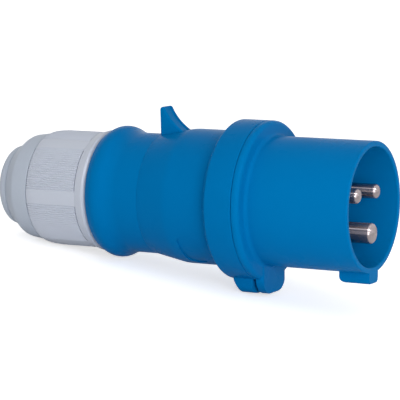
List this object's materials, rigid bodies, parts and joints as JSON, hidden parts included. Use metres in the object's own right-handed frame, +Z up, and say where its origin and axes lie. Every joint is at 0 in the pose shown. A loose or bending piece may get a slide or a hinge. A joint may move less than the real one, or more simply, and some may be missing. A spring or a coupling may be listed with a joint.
{
  "type": "industrial pin and sleeve plug",
  "caption": "Blue industrial pin and sleeve plug with keyed round sleeve, flange with lug, finned handle and grey ribbed cable gland.",
  "frame": {"origin": "on the surface it lies on, under the middle of its bounding box", "axes": "+X from the gland towards the mouth of the sleeve, +Z up, with the key and lug at the bottom; the plug's axis leans nose up, as it rests on its lug and its gland nut"},
  "size_m": [0.1432, 0.0542, 0.0594],
  "materials": {
    "blue_nylon": "moulded, semi-gloss",
    "dark_blue_nylon": "moulded, satin",
    "grey_nylon": "moulded, fine matt",
    "natural_nylon": "moulded, matt",
    "nickel_plated_brass": "nickel plated, bright turned",
    "zinc_plated_steel": "zinc plated",
    "black_rubber": "moulded, matt"
  },
  "bodies": {
    "contact_half": {"sleeve_housing": "blue_nylon", "pin_carrier": "dark_blue_nylon", "pin_retainer": "natural_nylon", "retainer_screw_left": "zinc_plated_steel", "retainer_screw_right": "zinc_plated_steel", "line_pin": "nickel_plated_brass", "neutral_pin": "nickel_plated_brass", "earth_pin": "nickel_plated_brass", "housing_seal": "black_rubber"},
    "handle": {"handle_shell": "blue_nylon", "clamp_cage": "natural_nylon", "cable_seal": "black_rubber"},
    "gland_dome": {"gland_dome": "grey_nylon"},
    "gland_nut": {"gland_nut": "grey_nylon"},
    "line_clamp": {"line_clamp_plate": "zinc_plated_steel"},
    "line_screw": {"line_terminal_screw": "zinc_plated_steel"},
    "neutral_clamp": {"neutral_clamp_plate": "zinc_plated_steel"},
    "neutral_screw": {"neutral_terminal_screw": "zinc_plated_steel"},
    "earth_clamp": {"earth_clamp_plate": "zinc_plated_steel"},
    "earth_screw": {"earth_terminal_screw": "zinc_plated_steel"}
  },
  "joints": [
    {"name": "housing_twist", "type": "hinge", "parent": "contact_half", "child": "handle", "pos_m": [0.02906, 0, 0.03194], "axis": [0.9892, 0, 0.1464], "range_deg": [0, 30]},
    {"name": "gland_travel", "type": "slide", "parent": "handle", "child": "gland_dome", "axis": [-0.9892, 0, -0.1464], "range_m": [0, 0.012]},
    {"name": "gland_turn", "type": "hinge", "parent": "gland_dome", "child": "gland_nut", "pos_m": [-0.0299, 0, 0.02322], "axis": [-0.9892, 0, -0.1464], "range_deg": [0, 1440]},
    {"name": "line_clamp_travel", "type": "slide", "parent": "contact_half", "child": "line_clamp", "axis": [0.0732, 0.866, -0.4946], "range_m": [0, 0.003]},
    {"name": "line_screw_turn", "type": "hinge", "parent": "line_clamp", "child": "line_screw", "pos_m": [0.01388, -0.00758, 0.03412], "axis": [0.0732, 0.866, -0.4946], "range_deg": [0, 1542.9]},
    {"name": "neutral_clamp_travel", "type": "slide", "parent": "contact_half", "child": "neutral_clamp", "axis": [0.0732, -0.866, -0.4946], "range_m": [0, 0.003]},
    {"name": "neutral_screw_turn", "type": "hinge", "parent": "neutral_clamp", "child": "neutral_screw", "pos_m": [0.01388, 0.00758, 0.03412], "axis": [0.0732, -0.866, -0.4946], "range_deg": [0, 1542.9]},
    {"name": "earth_clamp_travel", "type": "slide", "parent": "contact_half", "child": "earth_clamp", "axis": [-0.1464, 0, 0.9892], "range_m": [0, 0.003]},
    {"name": "earth_screw_turn", "type": "hinge", "parent": "earth_clamp", "child": "earth_screw", "pos_m": [0.0158, 0, 0.02113], "axis": [-0.1464, 0, 0.9892], "range_deg": [0, 1542.9]}
  ],
  "couplings": [
    {"joint": "gland_turn", "follows": "gland_travel", "rad_per_m": 2094.4},
    {"joint": "line_screw_turn", "follows": "line_clamp_travel", "rad_per_m": 8976},
    {"joint": "neutral_screw_turn", "follows": "neutral_clamp_travel", "rad_per_m": 8976},
    {"joint": "earth_screw_turn", "follows": "earth_clamp_travel", "rad_per_m": 8976}
  ]
}
